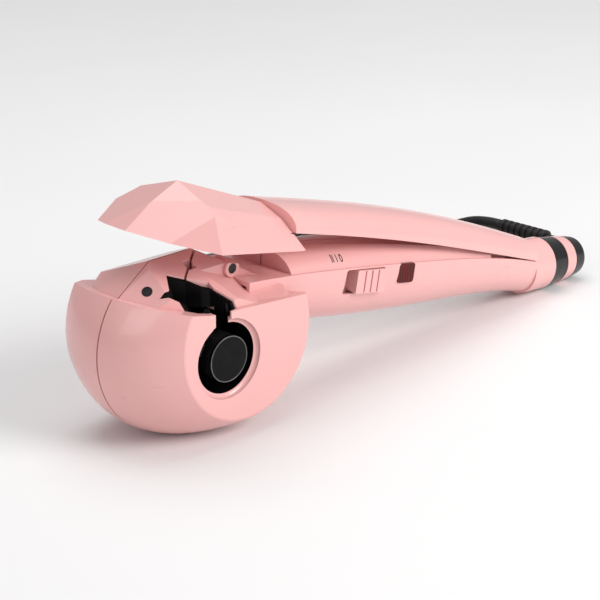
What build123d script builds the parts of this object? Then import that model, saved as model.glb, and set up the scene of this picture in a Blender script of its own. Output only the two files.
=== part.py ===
"""Automatic curling iron: a round head with a heated barrel and a turning hair hook, a faceted
jaw on a hinged arm, a tapered handle with a slide switch, and a cord that leaves by a swivel."""
import os
from math import atan2, cos, degrees, pi, radians, sin, sqrt, tan

from build123d import *

os.makedirs("parts", exist_ok=True)

# Overall sizes and clearances
overall_length = 310.0
wall = 2.2
parting_gap = 0.7
fit_gap = 0.05
run_gap = 0.05
free_gap = 0.4

# Head: radius and centre of its round outline at the parting plane, the near face and the back
head_r = 41.0
drawn_r = 41.0
unit = head_r / drawn_r
head_half_depth = 30.0 * unit
rest_flat = 0.4
face_r = 36.0 * unit
face_shift = 16.2 * unit
face_rise = 3.9 * unit
face_fillet = 1.6
back_r = 40.6 * unit
back_shift = 4.0 * unit
back_rise = 4.4 * unit
back_edge_depth = 4.0 * unit
back_edge_r = 33.5 * unit
head_x = head_r - overall_length / 2
head_z = head_r - rest_flat
face_y = -head_half_depth
back_y = head_half_depth

# Barrel axis and the round hair chamber about it
barrel_shift = 4.0 * unit
barrel_z = 38.3 * unit
barrel_r = 10.0 * unit
barrel_wall = 2.0
barrel_seat = 4.0 * unit
boss_length = 10.0 * unit
mouth_r = 15.4 * unit
lip_r = 2.0
liner_clear = 0.2
liner_wall = 1.4
chamber_back_y = 8.6 * unit
barrel_x = head_x + barrel_shift
barrel_back_y = back_y - barrel_seat
boss_y = back_y - boss_length
liner_in_r = mouth_r + liner_clear
liner_r = liner_in_r + liner_wall
barrel_axis = Axis((barrel_x, 0, barrel_z), (0, 1, 0))

# Rim where the jaw meets the head, as offsets from the barrel axis and heights over head_z
rim_front = -46.0 * unit
rim_front_rise = 28.0 * unit
rim_mid = -8.0 * unit
rim_mid_rise = 19.0 * unit
rim_rear = 43.0 * unit
rim_rear_rise = 14.9 * unit

# Raised hair guide between the rims, a low roof
guide_front = -37.0 * unit
guide_front_rise = 22.0 * unit
guide_top_front = -16.0 * unit
guide_top_rear = 6.0 * unit
guide_top_rise = 37.0 * unit
guide_rear_rise = 15.5 * unit
guide_near_rise = 19.0 * unit
guide_far_rise = 25.0 * unit

# Hair slot down into the chamber and the wide throat above it, from the barrel axis
slot_front = -7.0 * unit
slot_rear = 1.5 * unit
slot_back_y = 6.0 * unit
throat_drawn = [
    (-13.0, -26.0),
    (-23.6, -14.0),
    (-17.8, -14.0),
    (-13.7, -7.5),
    (-7.0, -11.5),
    (-2.5, -16.0),
    (0.7, -18.0),
    (6.9, -28.0),
    (1.5, -29.2),
    (1.5, -27.0),
    (-7.0, -27.0),
]
throat_outline = [(offset * unit, y * unit) for offset, y in throat_drawn]
throat_floor = 15.4 * unit
funnel_wall = 1.2
funnel_drop = 0.6
slit_start = (-7.0 * unit, -11.5 * unit)
slit_end = (3.8 * unit, -3.5 * unit)
slit_width = 1.0
slit_hole = 4.4
slit_hole_spot = (-0.5 * unit, -6.6 * unit)
slit_hole_depth = 9.0
seam_depth = 0.8
guide_lug_r = 3.8 * unit
guide_lug_rise = 27.85 * unit
guide_lug_shift = 18.6 * unit
guide_lug_y = -12.0 * unit
guide_lug_length = 9.0 * unit
lug_proud = 1.5
shelf_front = 2.0 * unit
shelf_rise = 23.2 * unit
shelf_near_rise = 15.0 * unit
dish_spot = (7.0 * unit, -22.0 * unit, 23.8 * unit)
dish_facing = (0.41, -0.42, 1.0)
guide_front_near_y = -24.0 * unit
guide_rear_far_y = 19.5 * unit
guide_dot_r = 2.2
guide_dot_depth = 6.0
guide_dot_sink = 0.3
guide_dot_shift = -26.0 * unit
guide_dot_y = -8.3 * unit

# Tail: a cone whose lowest line lies on the table
tail_r = 13.4 * unit
tail_drop = 6.0
collar_length = 16.0
collar_lip = 0.1
band_length = 12.0
band_inset = 0.25
ring_length = 8.0
cap_length = 7.0
cap_dome = 3.0
cap_edge = 2.6
tail_bore_r = 8.0 * unit
spindle_r = 5.0
spindle_bore_r = 3.4
spindle_length = 14.0
flange_r = 7.4 * unit
flange_thick = 2.0
tail_x = overall_length / 2 - cap_length - ring_length - band_length
tail_z = tail_r * cos(radians(tail_drop))
collar_x = tail_x - collar_length
tail_slope = tan(radians(tail_drop))
tail_plane = Plane(
    origin=(tail_x, 0, tail_z),
    x_dir=(cos(radians(tail_drop)), 0, -sin(radians(tail_drop))),
    z_dir=(0, -1, 0),
)
tail_axis = Axis(tail_plane.origin, tail_plane.x_dir)

# Handle stations: share of the way to the collar, lowest line, ledge line, half width
handle_shift = 20.0 * unit
handle_drawn = [
    (0.00, 40.0, 64.0, 21.0),
    (0.26, 29.0, 56.0, 20.0),
    (0.54, 19.0, 45.0, 18.4),
    (0.80, 11.2, 32.8, 15.8),
    (1.00, 0.8, 19.5, 13.2),
]
handle_stations = [
    (share, low * unit, ledge * unit, half * unit) for share, low, ledge, half in handle_drawn
]
deck_rises = [step * unit for step in (7.6, 8.6, 7.0, 3.4)]
deck_lean = 3.5 * unit
deck_step = 0.4
deck_root = 4.0
deck_front = 46.0 * unit
deck_gap = 0.6
collar_tuck = 4.0
handle_x = barrel_x + handle_shift
handle_end_x = collar_x + collar_tuck
handle_run = handle_end_x - handle_x

# Arm, drawn closed: crown over the ledge and overhang past the handle at each station
open_angle = 6.7
pivot_back = 27.0
pivot_z = 21.0 * unit
pivot_r = 2.0
pivot_half = 13.2 * unit
cap_r = 4.8
cap_thick = 1.6
ear_r = 6.0
ear_inner_y = 6.2 * unit
ear_outer_y = 9.6 * unit
arm_rises = [step * unit for step in (10.8, 11.5, 12.9, 12.3, 13.6)]
arm_overs = [step * unit for step in (1.6, 1.6, 1.6, 1.4, 0.6)]
arm_lift = 0.9
arm_tail_lift = 4.4 * unit
arm_wall = 1.8
pocket_half_x = 17.0
pivot_x = collar_x - pivot_back
hinge = Axis((pivot_x, 0, pivot_z), (0, 1, 0))

# Return spring between the handle's deck and the arm
spring_share = 0.1942
spring_r = 3.6
spring_wire_r = 0.5
spring_turns = 4
spring_foot_z = 40.8 * unit
spring_length = 13.2 * unit
spring_boss_r = 4.6
spring_x = pivot_x - spring_share * handle_run
spring_top_z = spring_foot_z + spring_length

# Jaw, drawn closed: corner points of its facets from the barrel axis and the head's centre
jaw_wall = 1.6
jaw_seat = 0.6
jaw_rear = 40.0 * unit
jaw_guide_gap = 0.4
jaw_points = {
    "nose": (-34.5, 0.0, 26.4),
    "nose_far": (-34.5, 10.0, 26.4),
    "brow": (-22.0, 0.0, 36.8),
    "peak": (-9.0, 0.0, 44.3),
    "ridge": (37.0, 0.0, 31.0),
    "near_tip": (-27.0, -18.0, 23.8),
    "near_shoulder": (-10.0, -24.5, 36.6),
    "near_low": (-8.0, -29.5, 18.6),
    "near_rear": (40.0, -30.0, 14.9),
    "near_hip": (41.0, -12.0, 26.3),
    "near_flank": (0.0, -26.0, 31.0),
    "far_tip": (-34.5, 17.5, 27.0),
    "far_corner": (-26.0, 28.0, 23.4),
    "far_temple": (-17.0, 22.0, 38.0),
    "far_shoulder": (-11.0, 20.0, 38.0),
    "far_low": (-8.0, 30.0, 24.6),
    "far_rear": (40.0, 30.0, 14.9),
    "far_hip": (41.0, 12.0, 26.3),
    "far_flank": (0.0, 25.0, 32.7),
}
jaw_facets = [
    ("nose", "nose_far", "brow"),
    ("nose", "near_tip", "brow"),
    ("far_tip", "far_corner", "far_temple"),
    ("brow", "peak", "near_shoulder"),
    ("brow", "peak", "far_shoulder"),
    ("peak", "ridge", "near_shoulder"),
    ("peak", "ridge", "far_shoulder"),
    ("near_tip", "near_shoulder", "near_low"),
    ("near_shoulder", "near_low", "near_rear"),
    ("far_shoulder", "far_low", "far_rear"),
    ("near_rear", "near_hip", "near_flank"),
    ("far_rear", "far_hip", "far_flank"),
]
jaw_screw_r = 1.2
jaw_screw_head_r = 2.3
jaw_screw_rise = 24.4 * unit
jaw_screw_y = 7.0 * unit
jaw_screw_reach = 5.0
jaw_screw_head = 1.6
jaw_boss_r = 2.8
pad_front = -16.0 * unit
pad_rear = 0.0 * unit
pad_half = 7.0 * unit
pad_rise = 38.2 * unit

# Panel on the near side: switch slot, lens, board and switch behind it
panel_share = 0.3456
panel_z = 46.2 * unit
panel_x = handle_x + panel_share * handle_run
panel_fall = handle_stations[1][2] - handle_stations[2][2]
panel_slope = degrees(atan2(panel_fall, (handle_stations[2][0] - handle_stations[1][0]) * handle_run))
slot_length = 26.0
slot_height = 11.4 * unit
slot_corner = 1.5
slider_length = 19.0
slider_gap = 0.35
slider_proud_y = 20.6 * unit
slider_back_y = 14.2 * unit
slider_flange_y = 12.9 * unit
slider_flange_margin = 2.0
slider_grooves = 3
slider_groove_pitch = 4.2
slider_groove_width = 0.9
slider_groove_depth = 0.7
lens_shift = 28.1
lens_rise = 1.9 * unit
lens_length = 10.8
lens_height = 9.2 * unit
lens_out_y = 18.9 * unit
lens_in_y = 14.0 * unit
board_y = -8.0 * unit
board_thick = 1.6
board_length = 56.0
board_height = 13.0 * unit
board_shift = 8.0
board_lower = -1.0 * unit
board_post_r = 2.6
board_posts = [(-16.0, -1.0), (32.0, -1.0)]
led_r = 2.5
led_length = 5.0 * unit
microswitch_length = 20.0
microswitch_height = 8.0 * unit

# Screws that hold the halves, along the object from the barrel axis and over the table
screw_r = 1.5
screw_head_r = 2.9
screw_head_thick = 2.0
screw_seat_y = 9.0
screw_reach = 8.0
boss_r = 4.4
screw_spots = [
    (barrel_x - 24.0 * unit, 14.0 * unit),
    (handle_x + 0.204 * handle_run, 44.0 * unit),
    (handle_x + 0.68 * handle_run, 26.0 * unit),
]

# Drive: a ring gear on the rotor and a pinion on the motor
gear_module = 0.85 * unit
gear_teeth = 40
pinion_teeth = 10
tooth_root = 0.29
tooth_tip = 0.11
gear_y = 9.0 * unit
gear_width = 5.0 * unit
bearing_wall = 2.0
bearing_lip = 1.2
drive_angle = -2.0
motor_r = 8.0 * unit
motor_length = 9.0 * unit
motor_shaft_r = 1.0
shaft_reach = 4.0
bracket_thick = 1.5
bracket_gap = 1.2
bracket_half = 5.0 * unit
bracket_post_r = 2.2
bracket_post_rise = 11.8 * unit
hook_start = 140.0
hook_sweep = 26.0
hook_in_r = 11.2 * unit
hook_out_r = 14.8 * unit
hook_near_y = -25.0 * unit
hook_plate = 1.6
gear_pitch_r = gear_module * gear_teeth / 2
drive_reach = gear_module * (gear_teeth + pinion_teeth) / 2
motor_x = barrel_x + drive_reach * cos(radians(drive_angle))
motor_z = barrel_z + drive_reach * sin(radians(drive_angle))
bearing_r = barrel_r + fit_gap + bearing_wall
bracket_y = gear_y + gear_width + bracket_gap
motor_y = bracket_y + bracket_thick + fit_gap

# Heater inside the barrel and the cap on its end
cap_plate = 1.5
cap_ring_width = 0.5
cap_ring_depth = 0.4
cap_spigot = 4.0
heater_length = 40.0 * unit
fuse_r = 2.2
fuse_length = 6.5 * unit
cap_y = face_y + cap_plate

# Cord, its boot and the swivel it leaves by
cord_r = 3.0
boot_root_r = 4.3
boot_tip_r = 3.8
stub_r = 2.6
stub_start_y = 3.0
boot_ribs = 7
boot_groove = 0.7
boot_lift = 7.0 * unit
boot_start_y = 12.0
boot_length = 29.0
boot_x = overall_length / 2 - 0.46 * cap_length
boot_z = tail_z - (boot_x - tail_x) * tail_slope + boot_lift
boot_end_y = boot_start_y + boot_length
route_share = 0.45

# Put-away coil behind the handle, then a short lead to the plug
coil_x = 85.0
coil_y = 78.0
coil_r = 47.5
coil_turns = 7
coil_pitch = 6.6
coil_layer = 6.6
tie_thick = 0.8
floor_gap = 0.1
coil_low_z = cord_r + tie_thick + 2 * floor_gap
coil_high_z = coil_low_z + coil_layer
tie_width = 10.0
tie_clear = 1.0
plug_z = 7.2
plug_length = 34.0
plug_half = 12.5
plug_half_thick = 7.0
plug_neck_r = 4.6
pin_r = 2.0
pin_length = 19.0
pin_spacing = 19.0
pin_tuck = 3.0
pin_core_r = 1.4
pin_shoulder = 0.3


def side_plane(y):
    """Upright plane across the object at y, with X and Z in the sketch."""
    return Plane.XZ.offset(-y)


def rise(height):
    """Height over the table of a point given over the head's centre."""
    return head_z + height


def along(offset):
    """Place along the object of a point given from the barrel axis."""
    return barrel_x + offset


def station_x(share):
    """Place along the object of a handle station."""
    return handle_x + share * handle_run


def round_y(x, z, r, low_y, high_y, mode=Mode.ADD):
    """Cylinder along Y in the part in hand."""
    with BuildSketch(side_plane(low_y)) as disc:
        with Locations((x, z)):
            Circle(r)
    extrude(disc.sketch, amount=low_y - high_y, mode=mode)


def ring_y(x, z, outer, inner, low_y, high_y):
    """Tube along Y in the part in hand."""
    with BuildSketch(side_plane(low_y)) as disc:
        with Locations((x, z)):
            Circle(outer)
            Circle(inner, mode=Mode.SUBTRACT)
    extrude(disc.sketch, amount=low_y - high_y)


def tail_ring_of(profile):
    """Turned piece about the tail axis, from places along it and radii."""
    with BuildPart() as turned:
        with BuildSketch(tail_plane):
            with BuildLine():
                Polyline(*profile, close=True)
            make_face()
        revolve(axis=tail_axis)
    return turned.part


def tail_cone_r(place):
    """Radius of the tail's cone at a place along its axis."""
    return tail_r - place * tail_slope


def head_form(inset):
    """Round head without its cut top, drawn in by an inset."""
    rounds = [
        (face_y + inset, head_x + face_shift, head_z + face_rise, face_r - inset),
        (0, head_x, head_z, head_r - inset),
        (back_y - back_edge_depth, head_x + back_shift, head_z + back_rise, back_r - inset),
    ]
    with BuildPart() as form:
        for y, x, z, r in rounds:
            with BuildSketch(side_plane(y)):
                with Locations((x, z)):
                    Circle(r)
        loft()
        fillet(form.faces().sort_by(Axis.Y)[0].edges(), face_fillet)
        with BuildSketch(side_plane(back_y - back_edge_depth)):
            with Locations((head_x + back_shift, head_z + back_rise)):
                Circle(back_r - inset)
        with BuildSketch(side_plane(back_y - inset)):
            with Locations((head_x + back_shift, head_z + back_rise)):
                Circle(back_edge_r - inset)
        loft(ruled=True)
    return form.part


def above_rim(drop):
    """Space above the line where the jaw meets the head, lowered by a drop."""
    with BuildPart() as space:
        with BuildSketch(Plane.XZ):
            with BuildLine():
                Polyline(
                    (along(rim_front), rise(rim_front_rise) - drop),
                    (along(rim_mid), rise(rim_mid_rise) - drop),
                    (along(rim_rear), rise(rim_rear_rise) - drop),
                    (along(2 * rim_rear), rise(rim_rear_rise) - drop),
                    (along(2 * rim_rear), rise(2 * head_r)),
                    (along(rim_front), rise(2 * head_r)),
                    close=True,
                )
            make_face()
        extrude(amount=2 * head_half_depth, both=True)
    return space.part


def guide_form(grow):
    """Raised middle of the head's top, grown by a clearance."""
    with BuildPart() as form:
        with BuildSketch(Plane.XZ):
            with BuildLine():
                Polyline(
                    (along(guide_front) - grow, rise(0)),
                    (along(guide_front) - grow, rise(guide_front_rise) + grow),
                    (along(guide_top_front), rise(guide_top_rise) + grow),
                    (along(guide_top_rear), rise(guide_top_rise) + grow),
                    (along(rim_rear) + grow, rise(guide_rear_rise) + grow),
                    (along(rim_rear) + grow, rise(0)),
                    close=True,
                )
            make_face()
        extrude(amount=head_half_depth + grow, both=True)
        with BuildSketch(Plane.YZ.offset(along(rim_front))):
            with BuildLine():
                Polyline(
                    (face_y - grow, rise(0)),
                    (face_y - grow, rise(guide_near_rise) + grow),
                    (0, rise(guide_top_rise) + grow),
                    (back_y + grow, rise(guide_far_rise) + grow),
                    (back_y + grow, rise(0)),
                    close=True,
                )
            make_face()
        extrude(amount=2 * (rim_rear - rim_front), mode=Mode.INTERSECT)
    return form.part


def handle_form(inset):
    """Handle below the ledge line, drawn in by an inset."""
    with BuildPart() as form:
        for share, low, ledge, half in handle_stations:
            side = half - inset
            top = ledge - inset
            bottom = low + inset
            belly = bottom + 0.35 * (top - bottom)
            with BuildSketch(Plane.YZ.offset(station_x(share))):
                with BuildLine():
                    Line((-side, top), (side, top))
                    Bezier((side, top), (side, belly), (0.62 * side, bottom), (0, bottom))
                    Bezier((0, bottom), (-0.62 * side, bottom), (-side, belly), (-side, top))
                make_face()
        loft()
    return form.part


def deck_form(inset, count):
    """Leaning deck on the handle that the arm closes over, drawn in by an inset."""
    with BuildPart() as form:
        for station, deck_rise in list(zip(handle_stations, deck_rises))[:count]:
            share, low, ledge, half = station
            foot = half - deck_step - inset
            crown = half - deck_lean - inset
            with BuildSketch(Plane.YZ.offset(station_x(share))):
                with BuildLine():
                    Polyline(
                        (-foot, ledge - deck_root),
                        (foot, ledge - deck_root),
                        (foot, ledge),
                        (crown, ledge + deck_rise - inset),
                        (-crown, ledge + deck_rise - inset),
                        (-foot, ledge),
                        close=True,
                    )
                make_face()
        loft()
        split(bisect_by=Plane.YZ.offset(along(deck_front) + inset), keep=Keep.TOP)
        add(arm_form(arm_wall + deck_gap + inset), mode=Mode.INTERSECT)
    return form.part


def arm_form(inset):
    """Arched arm over the handle, closed, drawn in by an inset and open below."""
    with BuildPart() as form:
        for index, station in enumerate(handle_stations):
            share, low, ledge, half = station
            side = half + arm_overs[index] - inset
            lift = arm_tail_lift if station is handle_stations[-1] else arm_lift
            foot = ledge + lift - 2 * inset
            crown = ledge + arm_rises[index] - inset
            shoulder = foot + 0.7 * (crown - foot)
            with BuildSketch(Plane.YZ.offset(station_x(share))):
                with BuildLine():
                    Line((-side, foot), (side, foot))
                    Bezier((side, foot), (side, shoulder), (0.62 * side, crown), (0, crown))
                    Bezier((0, crown), (-0.62 * side, crown), (-side, shoulder), (-side, foot))
                make_face()
        loft()
    return form.part


def behind_slit(shift):
    """Space behind the slit between the hair guides, moved across the slit by a shift."""
    foot = slit_foot + slit_side * shift
    far = foot + slit_run * (2 * head_r)
    with BuildPart() as space:
        with BuildSketch(Plane.XY.offset(rise(0))):
            with BuildLine():
                Polyline(
                    (foot.X, foot.Y),
                    (far.X, far.Y),
                    (along(2 * rim_rear), far.Y),
                    (along(2 * rim_rear), 2 * face_y),
                    (foot.X, 2 * face_y),
                    close=True,
                )
            make_face()
        extrude(amount=2 * head_r)
    return space.part


def jaw_point(name):
    """Corner point of the closed jaw in the part's frame."""
    offset, y, height = jaw_points[name]
    return Vector(along(offset * unit), y * unit, rise(height * unit))


def jaw_form(inset):
    """Faceted shield of the jaw, closed, cut like a gem and drawn in by an inset."""
    heart = Vector(barrel_x, 0, rise(rim_mid_rise))
    with BuildPart() as form:
        with BuildSketch(Plane.XY.offset(rise(0))):
            with Locations((along(jaw_rear) - inset - head_r, 0)):
                Rectangle(2 * head_r, 2 * (head_half_depth - inset))
        extrude(amount=2 * head_r)
        for names in jaw_facets:
            first, second, third = [jaw_point(name) for name in names]
            facing = (second - first).cross(third - first).normalized()
            if facing.dot(heart - first) > 0:
                facing = facing * -1
            split(bisect_by=Plane(origin=first - facing * inset, z_dir=facing), keep=Keep.BOTTOM)
    return form.part


def gear_outline(teeth, centre, first_tooth):
    """Toothed outline of a spur gear, with one tooth pointing at an angle in degrees."""
    pitch_r = gear_module * teeth / 2
    step = 2 * pi / teeth
    corners = []
    for tooth in range(teeth):
        middle = radians(first_tooth) + tooth * step
        for r, share in (
            (pitch_r - 1.25 * gear_module, -tooth_root),
            (pitch_r + gear_module, -tooth_tip),
            (pitch_r + gear_module, tooth_tip),
            (pitch_r - 1.25 * gear_module, tooth_root),
        ):
            angle = middle + share * step
            corners.append((centre[0] + r * cos(angle), centre[1] + r * sin(angle)))
    with BuildLine() as outline:
        Polyline(*corners, close=True)
    make_face(outline.edges())


def panel_plane(y):
    """Plane at y that follows the slope of the handle's side, centred on the switch."""
    slope = radians(panel_slope)
    return Plane(origin=(panel_x, y, panel_z), x_dir=(cos(slope), 0, -sin(slope)), z_dir=(0, -1, 0))


def panel_block(shift, height, length, depth, low_y, high_y):
    """Upright block on the panel in the part in hand."""
    with BuildSketch(panel_plane(low_y)) as outline:
        with Locations((shift, height)):
            Rectangle(length, depth)
    extrude(outline.sketch, amount=low_y - high_y)


def biarcs(points, tangents):
    """Join points that have known directions by pairs of tangent arcs, in the line in hand."""
    for start, finish, out, into in zip(points, points[1:], tangents, tangents[1:]):
        chord = finish - start
        lean = 1 - out.dot(into)
        forward = chord.dot(out + into)
        reach = (sqrt(forward**2 + 2 * lean * chord.dot(chord)) - forward) / (2 * lean)
        middle = (start + out * reach + finish - into * reach) / 2
        first = TangentArc(start, middle, tangent=out)
        TangentArc(middle, finish, tangent=first % 1)


def fillet_radii(route):
    """Largest smooth radius at each inner point of a cord's route."""
    radii = []
    for before, here, after in zip(route, route[1:], route[2:]):
        run_in = Vector(*here) - Vector(*before)
        run_out = Vector(*after) - Vector(*here)
        turn = radians(run_in.get_angle(run_out))
        radii.append(route_share * min(run_in.length, run_out.length) / tan(turn / 2))
    return radii


def round_tube(route, r):
    """Tube along straight runs and tangent arcs."""
    with BuildPart() as tube:
        with BuildLine() as path:
            FilletPolyline(*route, radius=fillet_radii(route))
        with BuildSketch(Plane(origin=path.line @ 0, z_dir=path.line % 0)):
            Circle(r)
        sweep(path=path.line)
    return tube.part, sum(edge.length for edge in path.edges())


# Whole casing before it is parted: head, handle, deck and tail collar
head_outer = head_form(0)
with BuildPart() as casing:
    add(head_outer)
    add(above_rim(0), mode=Mode.SUBTRACT)
    add(handle_form(0))
    add(deck_form(0, len(deck_rises)))
    add(tail_ring_of([(-collar_length, 0), (-collar_length, tail_r + collar_lip), (0, tail_r), (0, 0)]))
    with BuildSketch(Plane.XY):
        Rectangle(2 * overall_length, 4 * head_half_depth)
    extrude(amount=-head_r, mode=Mode.SUBTRACT)
with BuildPart() as hollow:
    add(head_form(wall))
    add(above_rim(wall), mode=Mode.SUBTRACT)
    add(handle_form(wall))
    add(deck_form(wall, len(deck_rises) - 1))

# Slot and throat for the hair, chamber mouth, pocket of the arm and bores cut through the casing
cap_seat_y = pivot_half - cap_thick
with BuildPart() as throat:
    with BuildSketch(Plane.XY.offset(rise(throat_floor))):
        with BuildLine():
            Polyline(*[(along(offset), y) for offset, y in throat_outline], close=True)
        make_face()
    extrude(amount=head_r)
with BuildPart() as cuts:
    round_y(barrel_x, barrel_z, mouth_r, face_y - wall, 0)
    with BuildSketch(side_plane(face_y - wall)):
        with BuildLine():
            Polyline(
                (along(slot_front), barrel_z),
                (along(slot_front), rise(head_r)),
                (along(slot_rear), rise(head_r)),
                (along(slot_rear), barrel_z),
                close=True,
            )
        make_face()
    extrude(amount=face_y - wall - slot_back_y)
    add(throat.part)
    with BuildSketch(Plane.XY.offset(pivot_z)):
        with Locations((pivot_x, 0)):
            Rectangle(2 * pocket_half_x, 2 * (ear_outer_y + free_gap))
    extrude(amount=head_r)
    with BuildSketch(Plane.XY.offset(spring_foot_z)):
        with Locations((spring_x, 0)):
            Circle(spring_r + spring_wire_r + free_gap)
    extrude(amount=head_r)
    round_y(pivot_x, pivot_z, pivot_r + fit_gap, face_y, back_y)
    round_y(pivot_x, pivot_z, cap_r + fit_gap, face_y, -cap_seat_y)
    round_y(pivot_x, pivot_z, cap_r + fit_gap, cap_seat_y, back_y)
    round_y(pivot_x, pivot_z, ear_r + free_gap, -ear_outer_y - free_gap, ear_outer_y + free_gap)
    add(tail_ring_of([(-collar_length, 0), (-collar_length, tail_bore_r), (0, tail_bore_r), (0, 0)]))
    for screw_x, screw_z in screw_spots:
        round_y(screw_x, screw_z, screw_r + fit_gap, -screw_reach - fit_gap, back_y)
        round_y(screw_x, screw_z, screw_head_r + fit_gap, screw_seat_y, back_y)
with BuildPart() as mouth_lip:
    with BuildSketch(Plane(origin=(barrel_x, face_y, barrel_z), x_dir=(1, 0, 0), z_dir=(0, 0, 1))):
        with BuildLine():
            Line((mouth_r - lip_r, 0), (mouth_r + lip_r, 0))
            RadiusArc((mouth_r + lip_r, 0), (mouth_r, lip_r), -lip_r)
            Line((mouth_r, lip_r), (mouth_r - lip_r, lip_r))
            Line((mouth_r - lip_r, lip_r), (mouth_r - lip_r, 0))
        make_face()
    revolve(axis=barrel_axis)

# Far half of the casing, with the posts that carry the barrel and the control board
with BuildPart() as far_posts:
    round_y(barrel_x, barrel_z, barrel_r + wall + fit_gap, boss_y, back_y)
    round_y(pivot_x, pivot_z, cap_r + wall / 2, ear_outer_y + free_gap, back_y)
    for screw_x, screw_z in screw_spots:
        round_y(screw_x, screw_z, boss_r, parting_gap / 2, back_y)
    for post in board_posts:
        with BuildSketch(panel_plane(board_y + board_thick + fit_gap)):
            with Locations(post):
                Circle(board_post_r)
        extrude(amount=-head_half_depth)
    add(casing.part, mode=Mode.INTERSECT)
with BuildPart() as housing_far:
    add(casing.part)
    add(hollow.part, mode=Mode.SUBTRACT)
    split(bisect_by=side_plane(parting_gap / 2), keep=Keep.BOTTOM)
    add(far_posts.part)
    round_y(barrel_x, barrel_z, barrel_r + fit_gap, 0, barrel_back_y + fit_gap, mode=Mode.SUBTRACT)
    add(cuts.part, mode=Mode.SUBTRACT)
housing_far.part.label = "housing_far"
export_step(housing_far.part, "parts/housing_far.step")

# Near half of the casing, with the keyhole, the switch slot and the window
with BuildPart() as near_posts:
    round_y(pivot_x, pivot_z, cap_r + wall / 2, face_y, -ear_outer_y - free_gap)
    for screw_x, screw_z in screw_spots:
        round_y(screw_x, screw_z, boss_r, face_y, -parting_gap / 2)
    add(casing.part, mode=Mode.INTERSECT)
with BuildPart() as panel_cuts:
    with BuildSketch(panel_plane(-lens_in_y)):
        RectangleRounded(slot_length, slot_height, slot_corner)
        with Locations((lens_shift, lens_rise)):
            RectangleRounded(lens_length, lens_height, slot_corner)
    extrude(amount=head_half_depth)
with BuildPart() as housing_near:
    add(casing.part)
    add(hollow.part, mode=Mode.SUBTRACT)
    split(bisect_by=side_plane(-parting_gap / 2), keep=Keep.TOP)
    add(near_posts.part)
    add(cuts.part, mode=Mode.SUBTRACT)
    add(mouth_lip.part, mode=Mode.SUBTRACT)
    add(panel_cuts.part, mode=Mode.SUBTRACT)
housing_near.part.label = "housing_near"
export_step(housing_near.part, "parts/housing_near.step")

# Raised hair guides on the head, parted by an oblique slit with a square hole
with BuildPart() as guide_body:
    add(guide_form(0))
    add(head_outer, mode=Mode.INTERSECT)
    add(above_rim(-fit_gap), mode=Mode.INTERSECT)
    add(jaw_form(jaw_wall + jaw_guide_gap), mode=Mode.INTERSECT)
    add(handle_form(-fit_gap), mode=Mode.SUBTRACT)
    add(throat.part, mode=Mode.SUBTRACT)
    with BuildSketch(Plane.XY.offset(rise(0))):
        with BuildLine():
            Polyline(
                (along(slot_front), 2 * face_y),
                (along(slot_rear), 2 * face_y),
                (along(slot_rear), throat_outline[5][1]),
                (along(slot_front), throat_outline[4][1]),
                close=True,
            )
        make_face()
    extrude(amount=2 * head_r, mode=Mode.SUBTRACT)
    with BuildSketch(Plane.XY.offset(rise(guide_top_rise) - slit_hole_depth)):
        with Locations((along(slit_hole_spot[0]), slit_hole_spot[1])):
            Rectangle(slit_hole, slit_hole)
    extrude(amount=head_r, mode=Mode.SUBTRACT)
with BuildPart() as guide_seam:
    with BuildSketch(side_plane(-parting_gap / 2)):
        with Locations((along(guide_front), rise(guide_top_rise))):
            Rectangle(2 * head_r, 2 * head_r)
    extrude(amount=-parting_gap)
    add(guide_form(-seam_depth), mode=Mode.SUBTRACT)
slit_run = Vector(slit_end[0] - slit_start[0], slit_end[1] - slit_start[1], 0).normalized()
slit_side = Vector(slit_run.Y, -slit_run.X, 0)
slit_foot = Vector(along(slit_start[0]), slit_start[1], 0)
dot_facing = Vector(guide_front_rise - guide_top_rise, 0, guide_top_front - guide_front).normalized()
dot_share = (guide_dot_shift - guide_front) / (guide_top_front - guide_front)
dot_rise = guide_front_rise + dot_share * (guide_top_rise - guide_front_rise)
dot_spot = Vector(along(guide_dot_shift), guide_dot_y, rise(dot_rise))
dot_plane = Plane(origin=dot_spot - dot_facing * guide_dot_sink, z_dir=dot_facing)
lug_x = along(guide_lug_shift)
lug_z = rise(guide_lug_rise)
with BuildPart() as hair_guide_front:
    add(guide_body.part)
    add(behind_slit(-slit_width / 2), mode=Mode.SUBTRACT)
    split(bisect_by=side_plane(guide_front_near_y), keep=Keep.BOTTOM)
    add(guide_seam.part, mode=Mode.SUBTRACT)
    with BuildSketch(dot_plane):
        Circle(guide_dot_r + fit_gap)
    extrude(amount=-guide_dot_depth - fit_gap, mode=Mode.SUBTRACT)
    with BuildSketch(dot_plane):
        Circle(guide_dot_r + fit_gap)
    extrude(amount=guide_dot_depth, mode=Mode.SUBTRACT)
hair_guide_front.part.label = "hair_guide_front"
export_step(hair_guide_front.part, "parts/hair_guide_front.step")
with BuildPart() as dish:
    with BuildSketch(Plane.YZ.offset(along(shelf_front))):
        with BuildLine():
            Polyline(
                (guide_lug_y + lug_proud, rise(head_r)),
                (guide_lug_y + lug_proud, rise(shelf_rise)),
                (face_y, rise(shelf_near_rise)),
                (face_y, rise(head_r)),
                close=True,
            )
        make_face()
    extrude(amount=2 * head_r)
    dish_origin = (along(dish_spot[0]), dish_spot[1], rise(dish_spot[2]))
    split(bisect_by=Plane(origin=dish_origin, z_dir=dish_facing), keep=Keep.TOP)
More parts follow.
